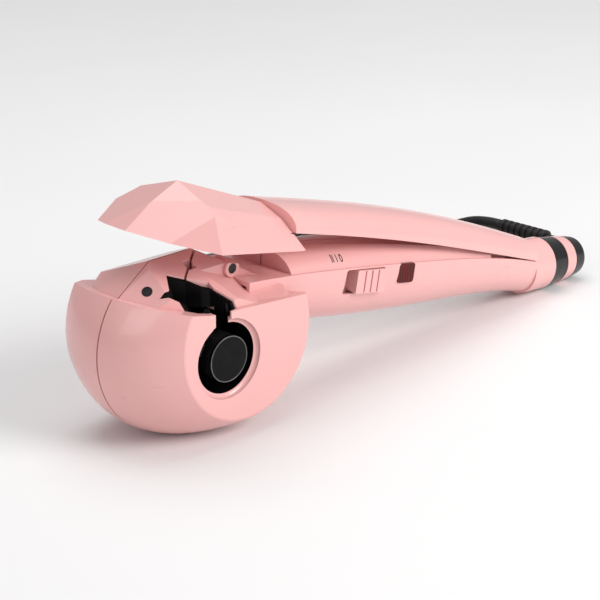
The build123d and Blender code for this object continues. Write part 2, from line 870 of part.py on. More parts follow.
with BuildPart() as hair_guide_rear:
    add(guide_body.part)
    add(behind_slit(slit_width / 2), mode=Mode.INTERSECT)
    split(bisect_by=side_plane(guide_rear_far_y), keep=Keep.TOP)
    add(dish.part, mode=Mode.SUBTRACT)
    round_y(lug_x, lug_z, guide_lug_r, guide_lug_y, guide_lug_y + guide_lug_length)
    add(jaw_form(jaw_wall + jaw_guide_gap), mode=Mode.INTERSECT)
    low_y = guide_lug_y - fit_gap
    round_y(lug_x, lug_z, guide_dot_r + fit_gap, low_y, guide_lug_y + guide_dot_depth, mode=Mode.SUBTRACT)
hair_guide_rear.part.label = "hair_guide_rear"
export_step(hair_guide_rear.part, "parts/hair_guide_rear.step")

# Dark screws of the hair guides
with BuildPart() as guide_screws:
    with BuildSketch(dot_plane):
        Circle(guide_dot_r)
    extrude(amount=-guide_dot_depth)
    low_y = guide_lug_y + guide_dot_sink
    round_y(lug_x, lug_z, guide_dot_r, low_y, guide_lug_y + guide_dot_depth - fit_gap)
    add(jaw_form(jaw_wall + jaw_guide_gap), mode=Mode.INTERSECT)
guide_screws.part.label = "guide_screws"
export_step(guide_screws.part, "parts/guide_screws.step")

# Dark funnel that lines the throat and leads hair to the slot
with BuildPart() as hair_funnel:
    with BuildSketch(Plane.XY.offset(rise(throat_floor) + fit_gap)):
        with BuildLine():
            Polyline(*[(along(offset), y) for offset, y in throat_outline], close=True)
        make_face()
        offset(amount=-fit_gap, kind=Kind.INTERSECTION)
    extrude(amount=head_r)
    with BuildSketch(Plane.XY.offset(rise(throat_floor) + funnel_wall)):
        with BuildLine():
            Polyline(*[(along(offset), y) for offset, y in throat_outline], close=True)
        make_face()
        offset(amount=-funnel_wall, kind=Kind.INTERSECTION)
    extrude(amount=head_r, mode=Mode.SUBTRACT)
    add(guide_form(-funnel_drop), mode=Mode.INTERSECT)
    add(jaw_form(jaw_wall + jaw_guide_gap + funnel_drop), mode=Mode.INTERSECT)
    with BuildSketch(side_plane(2 * face_y)):
        with Locations((along((slot_front + slot_rear) / 2), rise(throat_floor))):
            Rectangle(slot_rear - slot_front, 4 * funnel_wall)
    extrude(amount=4 * face_y, mode=Mode.SUBTRACT)
    with BuildSketch(side_plane(2 * face_y)):
        with Locations((along((slot_front + slot_rear) / 2), rise(head_r / 2))):
            Rectangle(slot_rear - slot_front, 2 * head_r)
    near_end_y = throat_outline[6][1] - 2.5 * funnel_wall
    extrude(amount=2 * face_y - near_end_y, mode=Mode.SUBTRACT)
hair_funnel.part.label = "hair_funnel"
export_step(hair_funnel.part, "parts/hair_funnel.step")

# Liner of the chamber, open along the slot
with BuildPart() as chamber_liner:
    ring_y(barrel_x, barrel_z, liner_r, liner_in_r, face_y + wall + 2 * fit_gap, chamber_back_y)
    with BuildSketch(side_plane(face_y)):
        with Locations((along((slot_front + slot_rear) / 2), barrel_z + liner_r)):
            Rectangle(slot_rear - slot_front, 2 * liner_r)
    extrude(amount=face_y - slot_back_y, mode=Mode.SUBTRACT)
chamber_liner.part.label = "chamber_liner"
export_step(chamber_liner.part, "parts/chamber_liner.step")

# Barrel with its cap, heater and fuse
with BuildPart() as barrel:
    ring_y(barrel_x, barrel_z, barrel_r, barrel_r - barrel_wall, cap_y, barrel_back_y)
barrel.part.label = "barrel"
export_step(barrel.part, "parts/barrel.step")
with BuildPart() as barrel_cap:
    round_y(barrel_x, barrel_z, barrel_r, face_y, cap_y - fit_gap)
    low_y = cap_y - fit_gap
    round_y(barrel_x, barrel_z, barrel_r - barrel_wall - fit_gap, low_y, low_y + cap_spigot)
    with BuildSketch(side_plane(face_y)):
        with Locations((barrel_x, barrel_z)):
            Circle(barrel_r)
            Circle(barrel_r - cap_ring_width, mode=Mode.SUBTRACT)
    extrude(amount=-cap_ring_depth, mode=Mode.SUBTRACT)
barrel_cap.part.label = "barrel_cap"
export_step(barrel_cap.part, "parts/barrel_cap.step")
heater_y = cap_y + cap_spigot + free_gap
with BuildPart() as heater_core:
    round_y(barrel_x, barrel_z, barrel_r - barrel_wall - 2 * fit_gap, heater_y, heater_y + heater_length)
heater_core.part.label = "heater_core"
export_step(heater_core.part, "parts/heater_core.step")
fuse_y = heater_y + heater_length + fit_gap
with BuildPart() as thermal_fuse:
    round_y(barrel_x, barrel_z, fuse_r, fuse_y, fuse_y + fuse_length)
thermal_fuse.part.label = "thermal_fuse"
export_step(thermal_fuse.part, "parts/thermal_fuse.step")

# Rotor: bearing on the barrel, ring gear and the hook that winds hair
with BuildPart() as rotor_bearing:
    bearing_in_r = barrel_r + fit_gap
    ring_y(barrel_x, barrel_z, bearing_r, bearing_in_r, gear_y, boss_y - fit_gap)
    flange_y = gear_y + gear_width + run_gap
    ring_y(barrel_x, barrel_z, bearing_r + bearing_lip, bearing_in_r, flange_y, flange_y + bearing_lip / 2)
rotor_bearing.part.label = "rotor_bearing"
export_step(rotor_bearing.part, "parts/rotor_bearing.step")
with BuildPart() as rotor_drum:
    with BuildSketch(side_plane(gear_y)):
        gear_outline(gear_teeth, (barrel_x, barrel_z), drive_angle)
        with Locations((barrel_x, barrel_z)):
            Circle(bearing_r + run_gap, mode=Mode.SUBTRACT)
    extrude(amount=-gear_width)
rotor_drum.part.label = "rotor_drum"
export_step(rotor_drum.part, "parts/rotor_drum.step")
with BuildPart() as hair_hook:
    with BuildSketch(side_plane(gear_y - fit_gap)):
        with BuildLine():
            CenterArc((barrel_x, barrel_z), hook_out_r, hook_start, hook_sweep)
            CenterArc((barrel_x, barrel_z), hook_in_r, hook_start, hook_sweep)
            for angle in (hook_start, hook_start + hook_sweep):
                ray = Vector(cos(radians(angle)), sin(radians(angle)))
                foot = Vector(barrel_x, barrel_z)
                Line(foot + ray * hook_in_r, foot + ray * hook_out_r)
        make_face()
    extrude(amount=gear_y - fit_gap - hook_near_y)
    ring_y(barrel_x, barrel_z, hook_out_r, bearing_r + free_gap, gear_y - hook_plate, gear_y - fit_gap)
hair_hook.part.label = "hair_hook"
export_step(hair_hook.part, "parts/hair_hook.step")

# Motor with its pinion and bracket
with BuildPart() as motor_pinion:
    with BuildSketch(side_plane(gear_y)):
        gear_outline(pinion_teeth, (motor_x, motor_z), 180 + drive_angle + 180 / pinion_teeth)
    extrude(amount=-gear_width)
    round_y(motor_x, motor_z, motor_shaft_r, gear_y + gear_width, motor_y + shaft_reach)
motor_pinion.part.label = "motor_pinion"
export_step(motor_pinion.part, "parts/motor_pinion.step")
with BuildPart() as motor_bracket:
    with BuildSketch(side_plane(bracket_y)):
        with Locations((motor_x, motor_z)):
            Rectangle(2 * bracket_half, 2 * (bracket_post_rise + bracket_post_r))
            Circle(motor_shaft_r + free_gap, mode=Mode.SUBTRACT)
    extrude(amount=-bracket_thick)
    for step in (-bracket_post_rise, bracket_post_rise):
        round_y(motor_x, motor_z + step, bracket_post_r, bracket_y, back_y - wall - 2 * fit_gap)
motor_bracket.part.label = "motor_bracket"
export_step(motor_bracket.part, "parts/motor_bracket.step")
with BuildPart() as drive_motor:
    round_y(motor_x, motor_z, motor_r, motor_y, motor_y + motor_length)
    bore_end_y = motor_y + shaft_reach + free_gap
    round_y(motor_x, motor_z, motor_shaft_r + run_gap, motor_y, bore_end_y, mode=Mode.SUBTRACT)
drive_motor.part.label = "drive_motor"
export_step(drive_motor.part, "parts/drive_motor.step")

# Slide switch: thumb piece through the slot, with grip grooves and a flange behind the wall
slider_shift = (slot_length - slider_length) / 2 - slider_gap
with BuildPart() as switch_slider:
    with BuildSketch(panel_plane(-slider_proud_y)):
        with Locations((slider_shift, 0)):
            RectangleRounded(slider_length, slot_height - 2 * slider_gap, slot_corner - slider_gap)
    extrude(amount=slider_back_y - slider_proud_y)
    flange_length = slider_length + 4 * slider_flange_margin
    flange_height = slot_height + slider_flange_margin
    panel_block(slider_shift, 0, flange_length, flange_height, -slider_back_y, -slider_flange_y)
    with BuildSketch(panel_plane(-slider_proud_y)):
        with GridLocations(slider_groove_pitch, 0, slider_grooves, 1):
            with Locations((slider_shift, 0)):
                Rectangle(slider_groove_width, slot_height - 4 * slider_gap)
    extrude(amount=-slider_groove_depth, mode=Mode.SUBTRACT)
switch_slider.part.label = "switch_slider"
export_step(switch_slider.part, "parts/switch_slider.step")

# Window, lamp, small switch and board behind the panel
with BuildPart() as indicator_lens:
    with BuildSketch(panel_plane(-lens_out_y)):
        with Locations((lens_shift, lens_rise)):
            RectangleRounded(lens_length - 2 * fit_gap, lens_height - 2 * fit_gap, slot_corner)
    extrude(amount=lens_in_y + fit_gap - lens_out_y)
indicator_lens.part.label = "indicator_lens"
export_step(indicator_lens.part, "parts/indicator_lens.step")
with BuildPart() as control_board:
    panel_block(board_shift, board_lower, board_length, board_height, board_y, board_y + board_thick)
control_board.part.label = "control_board"
export_step(control_board.part, "parts/control_board.step")
with BuildPart() as indicator_led:
    with BuildSketch(panel_plane(board_y - fit_gap)):
        with Locations((lens_shift, lens_rise)):
            Circle(led_r)
    extrude(amount=led_length)
indicator_led.part.label = "indicator_led"
export_step(indicator_led.part, "parts/indicator_led.step")
with BuildPart() as microswitch:
    low_y = -slider_flange_y + free_gap
    panel_block(0, 0, microswitch_length, microswitch_height, low_y, board_y - fit_gap)
microswitch.part.label = "microswitch"
export_step(microswitch.part, "parts/microswitch.step")

# Arm: arched shell with a front wall, solid tail, ears on the pivot and the spring's seat
arm_front_x = along(jaw_rear) + fit_gap
cavity_front_x = arm_front_x + jaw_wall
cavity_rear_x = pivot_x - ear_r - 2 * arm_wall
with BuildPart() as arm_cavity:
    add(arm_form(arm_wall))
    split(bisect_by=Plane.YZ.offset(cavity_front_x), keep=Keep.TOP)
    split(bisect_by=Plane.YZ.offset(cavity_rear_x), keep=Keep.BOTTOM)
with BuildPart() as arm_ears:
    for low_y in (-ear_outer_y, ear_inner_y):
        round_y(pivot_x, pivot_z, ear_r, low_y, low_y + ear_outer_y - ear_inner_y)
        with BuildSketch(side_plane(low_y)):
            with Locations((pivot_x, pivot_z + ear_r)):
                Rectangle(2 * ear_r, 2 * ear_r)
        extrude(amount=ear_inner_y - ear_outer_y)
with BuildPart() as arm_closed:
    add(arm_form(0))
    split(bisect_by=Plane.YZ.offset(arm_front_x), keep=Keep.TOP)
    add(arm_cavity.part, mode=Mode.SUBTRACT)
    add(arm_ears.part)
    round_y(pivot_x, pivot_z, pivot_r + run_gap, face_y, back_y, mode=Mode.SUBTRACT)
    for step in (-jaw_screw_y, jaw_screw_y):
        with BuildSketch(Plane.YZ.offset(arm_front_x - wall)):
            with Locations((step, rise(jaw_screw_rise))):
                Circle(jaw_screw_r + fit_gap)
        extrude(amount=2 * wall + jaw_wall, mode=Mode.SUBTRACT)
with BuildPart() as spring_seat:
    with BuildSketch(Plane.XY.offset(spring_top_z + fit_gap)):
        with Locations((spring_x, 0)):
            Circle(spring_boss_r)
    extrude(amount=head_r)
    add(arm_form(0).rotate(hinge, open_angle), mode=Mode.INTERSECT)
with BuildPart() as arm_shell:
    add(arm_closed.part.rotate(hinge, open_angle))
    add(spring_seat.part)
    split(bisect_by=Plane.YZ.offset(collar_x - free_gap), keep=Keep.BOTTOM)
arm_shell.part.label = "arm_shell"
export_step(arm_shell.part, "parts/arm_shell.step")

# Jaw: faceted hood over the hair guides, with screw bosses on its rear wall
with BuildPart() as jaw_closed:
    add(jaw_form(0))
    add(jaw_form(jaw_wall), mode=Mode.SUBTRACT)
    for step in (-jaw_screw_y, jaw_screw_y):
        with BuildSketch(Plane.YZ.offset(along(jaw_rear))):
            with Locations((step, rise(jaw_screw_rise))):
                Circle(jaw_boss_r)
        extrude(amount=-jaw_wall - jaw_screw_reach)
    for step in (-jaw_screw_y, jaw_screw_y):
        with BuildSketch(Plane.YZ.offset(along(jaw_rear))):
            with Locations((step, rise(jaw_screw_rise))):
                Circle(jaw_screw_r + fit_gap)
        extrude(amount=-jaw_screw_reach - fit_gap, mode=Mode.SUBTRACT)
    add(above_rim(-jaw_seat), mode=Mode.INTERSECT)
    add(handle_form(-jaw_guide_gap), mode=Mode.SUBTRACT)
with BuildPart() as jaw_cover:
    add(jaw_closed.part.rotate(hinge, open_angle))
jaw_cover.part.label = "jaw_cover"
export_step(jaw_cover.part, "parts/jaw_cover.step")
with BuildPart() as pad_closed:
    with BuildSketch(Plane.XY.offset(rise(pad_rise))):
        with Locations((along((pad_front + pad_rear) / 2), 0)):
            RectangleRounded(pad_rear - pad_front, 2 * pad_half, slot_corner)
    extrude(amount=head_r)
    add(jaw_form(jaw_wall + fit_gap), mode=Mode.INTERSECT)
with BuildPart() as jaw_pad:
    add(pad_closed.part.rotate(hinge, open_angle))
jaw_pad.part.label = "jaw_pad"
export_step(jaw_pad.part, "parts/jaw_pad.step")
with BuildPart() as screws_closed:
    for step in (-jaw_screw_y, jaw_screw_y):
        with BuildSketch(Plane.YZ.offset(along(jaw_rear) - jaw_screw_reach)):
            with Locations((step, rise(jaw_screw_rise))):
                Circle(jaw_screw_r)
        extrude(amount=jaw_screw_reach + jaw_wall + 2 * fit_gap)
        with BuildSketch(Plane.YZ.offset(cavity_front_x + fit_gap)):
            with Locations((step, rise(jaw_screw_rise))):
                Circle(jaw_screw_head_r)
        extrude(amount=jaw_screw_head)
with BuildPart() as jaw_screws:
    add(screws_closed.part.rotate(hinge, open_angle))
jaw_screws.part.label = "jaw_screws"
export_step(jaw_screws.part, "parts/jaw_screws.step")

# Pivot pin of the arm and the flush caps over its ends
with BuildPart() as hinge_pin:
    round_y(pivot_x, pivot_z, pivot_r, fit_gap - cap_seat_y, cap_seat_y - fit_gap)
hinge_pin.part.label = "hinge_pin"
export_step(hinge_pin.part, "parts/hinge_pin.step")
with BuildPart() as pivot_caps:
    round_y(pivot_x, pivot_z, cap_r, face_y, -cap_seat_y - fit_gap)
    round_y(pivot_x, pivot_z, cap_r, cap_seat_y + fit_gap, back_y)
    add(casing.part, mode=Mode.INTERSECT)
pivot_caps.part.label = "pivot_caps"
export_step(pivot_caps.part, "parts/pivot_caps.step")

# Return spring, wound in half turns
spring_low_z = spring_foot_z + fit_gap + spring_wire_r
spring_rise = spring_length - 2 * fit_gap - 2 * spring_wire_r
spring_points = []
spring_ways = []
for half_turn in range(2 * spring_turns + 1):
    side = 1 if half_turn % 2 == 0 else -1
    height = spring_low_z + spring_rise * half_turn / (2 * spring_turns)
    climb = spring_rise / spring_turns / (2 * pi * spring_r)
    if half_turn in (0, 2 * spring_turns):
        climb = 0
    spring_points.append(Vector(spring_x + side * spring_r, 0, height))
    spring_ways.append(Vector(0, side, climb).normalized())
with BuildPart() as return_spring:
    with BuildLine() as spring_line:
        biarcs(spring_points, spring_ways)
    with BuildSketch(Plane(origin=spring_line.line @ 0, z_dir=spring_line.line % 0)):
        Circle(spring_wire_r)
    sweep(path=spring_line.line)
return_spring.part.label = "return_spring"
export_step(return_spring.part, "parts/return_spring.step")

# Screws that hold the two halves
with BuildPart() as housing_screws:
    for screw_x, screw_z in screw_spots:
        round_y(screw_x, screw_z, screw_r, -screw_reach, screw_seat_y + fit_gap)
        head_y = screw_seat_y + fit_gap
        round_y(screw_x, screw_z, screw_head_r, head_y, head_y + screw_head_thick)
housing_screws.part.label = "housing_screws"
export_step(housing_screws.part, "parts/housing_screws.step")

# Tail: dark band, ring and the swivel cap with its spindle
band_start = fit_gap
band_end = band_length - fit_gap
with BuildPart() as tail_band:
    add(
        tail_ring_of(
            [
                (band_start, tail_bore_r),
                (band_start, tail_cone_r(band_start) - band_inset),
                (band_end, tail_cone_r(band_end) - band_inset),
                (band_end, tail_bore_r),
            ]
        )
    )
tail_band.part.label = "tail_band"
export_step(tail_band.part, "parts/tail_band.step")
ring_end = band_length + ring_length
with BuildPart() as tail_ring:
    add(
        tail_ring_of(
            [
                (band_length, spindle_r + run_gap),
                (band_length, tail_cone_r(band_length)),
                (ring_end, tail_cone_r(ring_end)),
                (ring_end, spindle_r + run_gap),
            ]
        )
    )
tail_ring.part.label = "tail_ring"
export_step(tail_ring.part, "parts/tail_ring.step")
cap_start = ring_end + free_gap
cap_end = ring_end + cap_length + cap_dome
cap_end_r = tail_cone_r(cap_end)
flange_end = band_length - free_gap
with BuildPart() as swivel_cap:
    add(
        tail_ring_of(
            [
                (band_length - spindle_length / 2, 0),
                (band_length - spindle_length / 2, spindle_r),
                (flange_end - flange_thick, spindle_r),
                (flange_end - flange_thick, flange_r),
                (flange_end, flange_r),
                (flange_end, spindle_r),
                (cap_start, spindle_r),
                (cap_start, tail_cone_r(cap_start)),
                (cap_end - cap_edge, cap_end_r),
                (cap_end - 0.6 * cap_edge, cap_end_r - 0.1 * cap_edge),
                (cap_end - 0.2 * cap_edge, cap_end_r - 0.5 * cap_edge),
                (cap_end, cap_end_r - 1.2 * cap_edge),
                (cap_end, 0),
            ]
        )
    )
    round_y(boot_x, boot_z, stub_r, stub_start_y, boot_start_y)
swivel_cap.part.label = "swivel_cap"
export_step(swivel_cap.part, "parts/swivel_cap.step")

# Ribbed boot of the cord
rib_pitch = boot_length / (2 * boot_ribs + 1)
with BuildPart() as strain_relief:
    with BuildSketch(Plane(origin=(boot_x, boot_start_y, boot_z), x_dir=(1, 0, 0), z_dir=(0, 0, 1))):
        with BuildLine():
            profile = [(0, fit_gap)]
            for rib in range(2 * boot_ribs + 1):
                full = boot_root_r + (boot_tip_r - boot_root_r) * rib / (2 * boot_ribs)
                r = full if rib % 2 == 0 else full - boot_groove
                profile.append((r, max(rib * rib_pitch, fit_gap)))
                profile.append((r, (rib + 1) * rib_pitch))
            profile.append((0, boot_length))
            Polyline(*profile, close=True)
        make_face()
    revolve(axis=Axis((boot_x, 0, boot_z), (0, 1, 0)))
strain_relief.part.label = "strain_relief"
export_step(strain_relief.part, "parts/strain_relief.step")

# Cord from the boot down to the table and into the put-away coil
coil_start = Vector(coil_x, coil_y + coil_r, coil_low_z)
coil_tail = 2 * cord_r
cord_route = [
    (boot_x, boot_end_y + fit_gap, boot_z),
    (boot_x, boot_end_y + 16.0, boot_z),
    (boot_x - 1.0, boot_end_y + 34.0, coil_low_z + 6.0),
    (boot_x - 3.5, boot_end_y + 54.0, coil_low_z),
    (boot_x - 12.5, boot_end_y + 68.0, coil_low_z),
    (boot_x - 33.5, coil_start.Y, coil_low_z),
    (coil_start.X + coil_tail + fit_gap, coil_start.Y, coil_low_z),
]
cord_tube, cord_length = round_tube(cord_route, cord_r)
with BuildPart() as cord:
    add(cord_tube)
cord.part.label = "cord"
export_step(cord.part, "parts/cord.step")
print("cord bend radii", [round(r, 1) for r in fillet_radii(cord_route)])

# Coil in two layers: spirals in, climbs in the half turn where it reverses, spirals out
half_turns_in = coil_turns
half_turns_out = coil_turns - 1
turn_marks = [half for half in range(half_turns_in + 1)]
turn_marks.append(half_turns_in + 0.5)
turn_marks.extend(half_turns_in + 1 + half for half in range(half_turns_out + 1))
turn_middle = half_turns_in + 0.5
spiral_points = []
spiral_ways = []
for mark in turn_marks:
    angle = pi / 2 + pi * mark
    inward = min(mark, 2 * turn_middle - mark)
    r = coil_r - coil_pitch / 2 * inward
    lean = -coil_pitch / (2 * pi) if mark < turn_middle else coil_pitch / (2 * pi)
    height = coil_low_z if mark < turn_middle else coil_high_z
    climb = 0
    if mark == turn_middle:
        lean = 0
        height = (coil_low_z + coil_high_z) / 2
        climb = 1.5 * coil_layer / pi
    if mark in (turn_marks[0], turn_marks[-1]):
        lean = 0
    spoke = Vector(cos(angle), sin(angle), 0)
    sweep_way = Vector(-sin(angle), cos(angle), 0)
    spiral_points.append(Vector(coil_x, coil_y, height) + spoke * r)
    spiral_ways.append((sweep_way * r + spoke * lean + Vector(0, 0, climb)).normalized())
coil_end = spiral_points[-1]
with BuildPart() as cord_coil:
    with BuildLine() as coil_line:
        Line(spiral_points[0] + Vector(coil_tail, 0, 0), spiral_points[0])
        biarcs(spiral_points, spiral_ways)
        Line(coil_end, coil_end - Vector(coil_tail, 0, 0))
    with BuildSketch(Plane(origin=spiral_points[0] + Vector(coil_tail, 0, 0), z_dir=(-1, 0, 0))):
        Circle(cord_r)
    sweep(path=coil_line.line)
cord_coil.part.label = "cord_coil"
export_step(cord_coil.part, "parts/cord_coil.step")
coil_length = sum(edge.length for edge in coil_line.edges())

# Tie round the bundle
tie_y_near = coil_y - coil_r + coil_pitch / 2 - cord_r - tie_clear
tie_y_far = coil_y - coil_r + coil_pitch / 2 * half_turns_in + cord_r + tie_clear
tie_low_z = floor_gap + tie_thick
tie_high_z = coil_high_z + cord_r + floor_gap
with BuildPart() as cord_tie:
    with BuildSketch(Plane.YZ.offset(coil_x - tie_width / 2)):
        with Locations(((tie_y_near + tie_y_far) / 2, (tie_low_z + tie_high_z) / 2)):
            RectangleRounded(
                tie_y_far - tie_y_near + 2 * tie_thick,
                tie_high_z - tie_low_z + 2 * tie_thick,
                cord_r,
            )
            RectangleRounded(
                tie_y_far - tie_y_near, tie_high_z - tie_low_z, cord_r - tie_thick, mode=Mode.SUBTRACT
            )
    extrude(amount=tie_width)
cord_tie.part.label = "cord_tie"
export_step(cord_tie.part, "parts/cord_tie.step")

# Lead from the coil to the plug
plug_x = coil_end.X - coil_tail - 42.0
plug_y = coil_end.Y + 1.6
lead_route = [
    (coil_end.X - coil_tail - fit_gap, coil_end.Y, coil_high_z),
    (coil_end.X - coil_tail - 13.0, coil_end.Y, coil_high_z),
    (plug_x + 13.0, plug_y, plug_z),
    (plug_x + fit_gap, plug_y, plug_z),
]
lead_tube, lead_length = round_tube(lead_route, cord_r)
with BuildPart() as cord_lead:
    add(lead_tube)
cord_lead.part.label = "cord_lead"
export_step(cord_lead.part, "parts/cord_lead.step")
print("lead bend radii", [round(r, 1) for r in fillet_radii(lead_route)])

# Plug body, tapered to its face, with two round pins whose thinner roots sit in it
face_x = plug_x - plug_length
with BuildPart() as plug_body:
    with BuildSketch(Plane.YZ.offset(plug_x)):
        with Locations((plug_y, plug_z)):
            Circle(plug_neck_r)
    with BuildSketch(Plane.YZ.offset(plug_x - 0.5 * plug_length)):
        with Locations((plug_y, plug_z)):
            Ellipse(0.72 * plug_half, 0.9 * plug_half_thick)
    with BuildSketch(Plane.YZ.offset(face_x)):
        with Locations((plug_y, plug_z)):
            Ellipse(plug_half + pin_r, plug_half_thick)
    loft()
    for step in (-pin_spacing / 2, pin_spacing / 2):
        with BuildSketch(Plane.YZ.offset(face_x)):
            with Locations((plug_y + step, plug_z)):
                Circle(pin_core_r + fit_gap)
        extrude(amount=pin_tuck + fit_gap, mode=Mode.SUBTRACT)
plug_body.part.label = "plug_body"
export_step(plug_body.part, "parts/plug_body.step")
with BuildPart() as plug_pins:
    for step in (-pin_spacing / 2, pin_spacing / 2):
        with BuildSketch(Plane.YZ.offset(face_x - pin_length)):
            with Locations((plug_y + step, plug_z)):
                Circle(pin_r)
        extrude(amount=pin_length - pin_shoulder)
        with BuildSketch(Plane.YZ.offset(face_x - pin_shoulder)):
            with Locations((plug_y + step, plug_z)):
                Circle(pin_core_r)
        extrude(amount=pin_shoulder + pin_tuck)
plug_pins.part.label = "plug_pins"
export_step(plug_pins.part, "parts/plug_pins.step")

# Least gap between the turns of the coil, on points along its middle line
trace = []
walked = 0.0
for edge in coil_line.edges():
    count = max(2, int(edge.length / cord_r))
    for index in range(count):
        trace.append((walked + edge.length * index / count, edge @ (index / count)))
    walked += edge.length
least = min(
    (here - there).length - 2 * cord_r
    for place, here in trace
    for other, there in trace
    if other - place > 8 * cord_r
)
print("least gap in the coil", round(least, 2))
print("cord length", round(cord_length + coil_length + lead_length))
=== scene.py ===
"""Automatic curling iron: finishes, cord, switch marks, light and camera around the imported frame."""

from math import cos, pi, radians, sin

import bmesh
import bpy
from mathutils import Matrix, Vector
from mathutils.bvhtree import BVHTree


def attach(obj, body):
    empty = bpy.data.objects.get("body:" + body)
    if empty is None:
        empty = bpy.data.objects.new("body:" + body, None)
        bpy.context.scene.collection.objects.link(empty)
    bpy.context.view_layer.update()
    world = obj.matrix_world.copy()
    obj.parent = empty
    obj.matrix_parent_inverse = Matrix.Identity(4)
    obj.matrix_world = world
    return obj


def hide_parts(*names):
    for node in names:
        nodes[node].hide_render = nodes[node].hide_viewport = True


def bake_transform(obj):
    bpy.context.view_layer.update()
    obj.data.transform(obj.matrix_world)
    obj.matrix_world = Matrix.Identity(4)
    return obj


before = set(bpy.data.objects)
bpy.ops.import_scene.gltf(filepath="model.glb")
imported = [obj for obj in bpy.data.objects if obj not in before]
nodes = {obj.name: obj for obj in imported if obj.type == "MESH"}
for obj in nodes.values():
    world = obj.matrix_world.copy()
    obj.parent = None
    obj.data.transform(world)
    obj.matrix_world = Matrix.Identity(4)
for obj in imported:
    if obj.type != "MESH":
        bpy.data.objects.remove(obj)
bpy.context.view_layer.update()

mm = 0.001

# Camera of the photograph, in the part's frame
camera_spot = (-0.5646, -0.5373, 0.3230)
camera_ahead = (0.6528, 0.6690, -0.3554)
camera_up = (0.2482, 0.2544, 0.9347)
camera_lens = 108.0
camera_sensor = 36.0

# Cord: the route's points of the part's source, in millimetres
cord_r = 3.0
cord_sides = 16
cord_fine = 8
boot_x = 151.78
boot_y = 41.05
boot_z = 17.83
fall_steps = [(0.0, 15.95, 17.83), (-1.0, 33.95, 10.0), (-3.5, 53.95, 4.0), (-12.5, 67.95, 4.0)]
bend_x = -33.5
coil_x = 85.0
coil_y = 78.0
coil_r = 47.5
coil_pitch = 6.6
coil_low_z = 4.0
coil_high_z = 10.6
turns_in = 3.5
turns_climb = 0.5
turns_out = 3.0
turn_points = 16
coil_entry_x = 6.05
coil_leave_x = -19.0
plug_x = 37.0
plug_y = 123.8
plug_z = 7.2
plug_run = 13.0
plug_gap = 0.05

# Thin ring in the rebate at the edge of the barrel's end cap, a painted highlight for the light caught
# on the cap's edge: profile of radii and depths
ring_centre = (-110.0, 38.3)
ring_profile = [
    (9.55, -29.65), (9.55, -29.92), (9.62, -29.99), (9.86, -29.99), (9.96, -29.88), (9.96, -29.65),
]
ring_steps = 96

# Jaw's rounded facet edges: radius and steps, and which edges count by angle and length
jaw_edge_r = 2.4
jaw_edge_steps = 6
crest_low = radians(4.0)
crest_high = radians(62.0)
crest_length = 4.0
sharp_angle = radians(34.0)
flat_angle = radians(0.5)
weld = 1e-6

# Marks of the switch's three places, on the handle above the slider
mark_height = 2.8
mark_bold = 0.07
mark_proud = 0.04
mark_edge = 0.7
mark_capital = 0.7
mark_ray_y = -0.2
mark_spots = [("0", -31.2, 59.1), ("I", -33.9, 59.6), ("II", -36.6, 60.1)]
panel_slope = radians(10.8)

# Floor's half width in metres, and the soft square lamps: place, aim, size, power and colour
floor_half = 6.0
lamps = {
    "key_lamp": ((0.55, -1.35, 0.95), (0.0, 0.0, 0.04), 0.9, 23.5, (1.0, 0.985, 0.97)),
    "top_lamp": ((0.10, 0.35, 1.50), (0.0, 0.0, 0.04), 1.2, 11.0, (1.0, 1.0, 1.0)),
    "side_lamp": ((-1.50, -0.30, 0.70), (0.0, 0.0, 0.05), 0.7, 2.6, (0.97, 0.985, 1.0)),
}
world_colour = (0.90, 0.90, 0.91, 1.0)
world_strength = 0.46


def new_material(name):
    """Material with its node tree, its shader and its object coordinates."""
    made = bpy.data.materials.new(name)
    made.use_nodes = True
    tree = made.node_tree
    shader = tree.nodes["Principled BSDF"]
    place = tree.nodes.new("ShaderNodeTexCoord")
    return made, tree, shader, place.outputs["Object"]


def stretch(tree, place, scale):
    """Coordinates stretched by a scale along each axis."""
    mapping = tree.nodes.new("ShaderNodeMapping")
    mapping.inputs["Scale"].default_value = scale
    tree.links.new(place, mapping.inputs["Vector"])
    return mapping.outputs["Vector"]


def noise(tree, place, scale, detail=3.0, rough=0.55):
    """Noise value at a scale per metre."""
    texture = tree.nodes.new("ShaderNodeTexNoise")
    texture.inputs["Scale"].default_value = scale
    texture.inputs["Detail"].default_value = detail
    texture.inputs["Roughness"].default_value = rough
    tree.links.new(place, texture.inputs["Vector"])
    return texture.outputs["Fac"]


def ramp(tree, value, stops):
    """Colour ramp over a value, from a list of places and colours."""
    made = tree.nodes.new("ShaderNodeValToRGB")
    elements = made.color_ramp.elements
    while len(elements) < len(stops):
        elements.new(0.5)
    for element, (spot, colour) in zip(elements, stops):
        element.position = spot
        element.color = (*colour, 1.0)
    tree.links.new(value, made.inputs["Fac"])
    return made.outputs["Color"]


def spread(tree, value, low, high, start=0.3, stop=0.7):
    """Value mapped from its middle range to a low and a high number."""
    made = tree.nodes.new("ShaderNodeMapRange")
    made.inputs["From Min"].default_value = start
    made.inputs["From Max"].default_value = stop
    made.inputs["To Min"].default_value = low
    made.inputs["To Max"].default_value = high
    tree.links.new(value, made.inputs["Value"])
    return made.outputs["Result"]


def bump(tree, shader, value, strength, depth):
    """Bump of a depth in metres on the shader's normal."""
    made = tree.nodes.new("ShaderNodeBump")
    made.inputs["Strength"].default_value = strength
    made.inputs["Distance"].default_value = depth
    tree.links.new(value, made.inputs["Height"])
    tree.links.new(made.outputs["Normal"], shader.inputs["Normal"])


